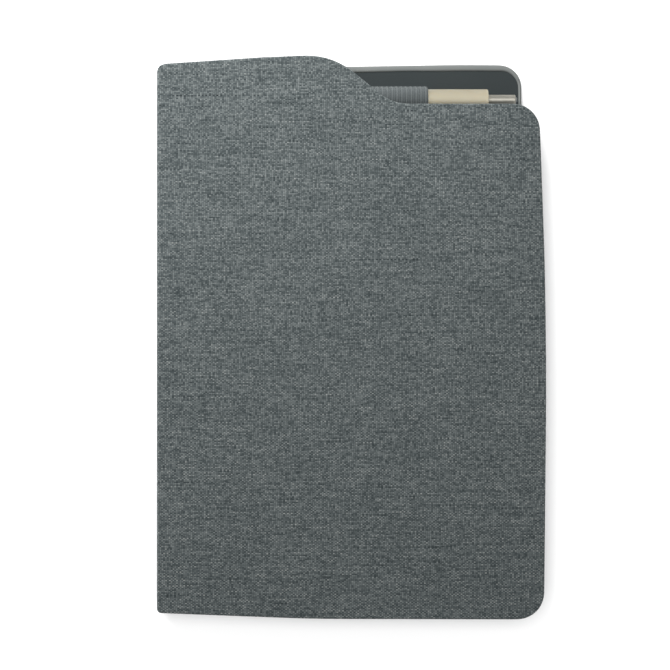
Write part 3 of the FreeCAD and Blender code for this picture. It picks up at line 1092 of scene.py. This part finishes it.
# The nose, with a fine groove near its root
profile = [(bx1 - 0.5, NOSE_R - 0.2), (bx1 - 0.2, NOSE_R), (bx1 + 1.0, NOSE_R), (bx1 + 1.1, NOSE_R - 0.12),
           (bx1 + 1.35, NOSE_R - 0.12), (bx1 + 1.45, NOSE_R)]
profile += [(x, NOSE_R) for x in np.linspace(bx1 + 3, nose_x1 - 1.2, 5)]
profile += rounded(nose_x1, NOSE_R, 0.55, QUARTER)
profile += [(nose_x1, 0.95), (nose_x1 - 0.15, 0.88), (nose_x1 - 1.0, 0.86)]
nose = lathe("nose", profile, "stylus", METAL)
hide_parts("stylus_nose")

head_x = nib_high[0] - 0.6
profile = [(nib_low[0] + 6, 0.5), (nib_low[0] + 6.2, 0.8), (head_x - 0.05, 0.8), (head_x, 0.95),
           (head_x + 0.06, 1.2), (head_x + 0.2, NIB_R)]
profile += [(nib_high[0] - 0.35 * (1 - math.sin(a)), NIB_R - 0.6 * (1 - math.cos(a)))
            for a in np.linspace(0.2, math.pi / 2, 6)]
nib = lathe("nib_tip", profile, "nib", TIP, sides=40)
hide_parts("stylus_nib")


# ---------------------------------------------------------------- carried-over CAD nodes

CARRIED = {
    "back_board": BOARD, "spine_board": BOARD, "cover_board": BOARD, "cover_foam": FOAM,
    "cover_magnets": NICKEL, "tray_adhesive": GLUE, "stylus_cartridge": CORE}
for node, material in CARRIED.items():
    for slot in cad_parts[node].material_slots:
        slot.material = material


# ---------------------------------------------------------------- stage, light and camera

FLOOR_Z = -0.0006  # just under the case
FLOOR_HALF = 3.0
SENSOR = 36.0  # millimetres, as Blender takes it
VIEW_CENTRE = (-0.00832, 0.00108)  # where the camera looks straight down
CAMERA_UP = 0.9  # camera's height above the cover
VIEW_WIDTH = 0.3423  # width seen at the cover's height
SEEN_WORLD = 1.0  # white backdrop
LIGHT_WORLD = 0.31  # the same backdrop as a light


def stage_plane():
    """Pale floor."""
    mesh = bpy.data.meshes.new("floor")
    corners = [(x * FLOOR_HALF, y * FLOOR_HALF, FLOOR_Z) for x, y in ((-1, -1), (1, -1), (1, 1), (-1, 1))]
    mesh.from_pydata(corners, [], [(0, 1, 2, 3)])
    s = Shader("floor_paper")
    tint = s.noise(s.object_mm(), 0.004, 2.0)
    s.finish(s.mix(tint, (0.93, 0.93, 0.93), (0.96, 0.96, 0.96)), 0.95, specular=0.1)
    mesh.materials.append(s.material)
    obj = add_object("floor", mesh)
    return obj


def soft_light(name, location, target, size, power):
    """Square light at a place, turned to a target."""
    light = bpy.data.lights.new(name, "AREA")
    light.shape = "SQUARE"
    light.size = size
    light.energy = power
    obj = add_object(name, light)
    obj.location = location
    obj.rotation_euler = (Vector(target) - Vector(location)).to_track_quat("-Z", "Y").to_euler()
    return obj


def lit_group(name, pieces, state):
    """Collection for light linking: a light given it lights only these pieces, or all but these."""
    group = bpy.data.collections.new(name)
    for piece in pieces:
        group.objects.link(piece)
    for member in group.collection_objects:
        member.light_linking.link_state = state
    return group


def floor_light(floor):
    """Even light from above that only the floor receives, so it stays pale to its edges."""
    light = bpy.data.lights.new("floor_wash", "SUN")
    light.energy = 2.5
    light.angle = math.radians(60)
    wash = add_object("floor_wash", light)
    wash.light_linking.receiver_collection = lit_group("floor_only", [floor], "INCLUDE")


floor = stage_plane()
key = soft_light("key", (-0.2, 0.42, 0.36), (0, 0, 0), 0.4, 3.4)
overhead = soft_light("overhead", (0.03, -0.06, 0.6), (0.03, 0.12, 0), 0.9, 5.6)
pen_pieces = [barrel, cap, nose, nib]  # evenly lit in the photo, so they have their own light
key.light_linking.receiver_collection = lit_group("not_pen", pen_pieces, "EXCLUDE")
overhead.light_linking.receiver_collection = lit_group("pen_only", pen_pieces, "INCLUDE")
floor_light(floor)

world = bpy.data.worlds.new("studio")
world.use_nodes = True
tree = world.node_tree
backdrop = tree.nodes["Background"]
ray = tree.nodes.new("ShaderNodeLightPath")
level = tree.nodes.new("ShaderNodeMapRange")
level.inputs["To Min"].default_value = LIGHT_WORLD
level.inputs["To Max"].default_value = SEEN_WORLD
tree.links.new(ray.outputs["Is Camera Ray"], level.inputs["Value"])
tree.links.new(level.outputs["Result"], backdrop.inputs["Strength"])
backdrop.inputs["Color"].default_value = (1, 1, 1, 1)
bpy.context.scene.world = world
bpy.context.scene.view_settings.view_transform = "Standard"

camera = bpy.data.cameras.new("camera")
camera.sensor_width = SENSOR
camera.lens = SENSOR * CAMERA_UP / VIEW_WIDTH
camera.clip_end = 20
eye = add_object("camera", camera)
eye.location = (*VIEW_CENTRE, CAMERA_UP + THICK * MM)
bpy.context.scene.camera = eye
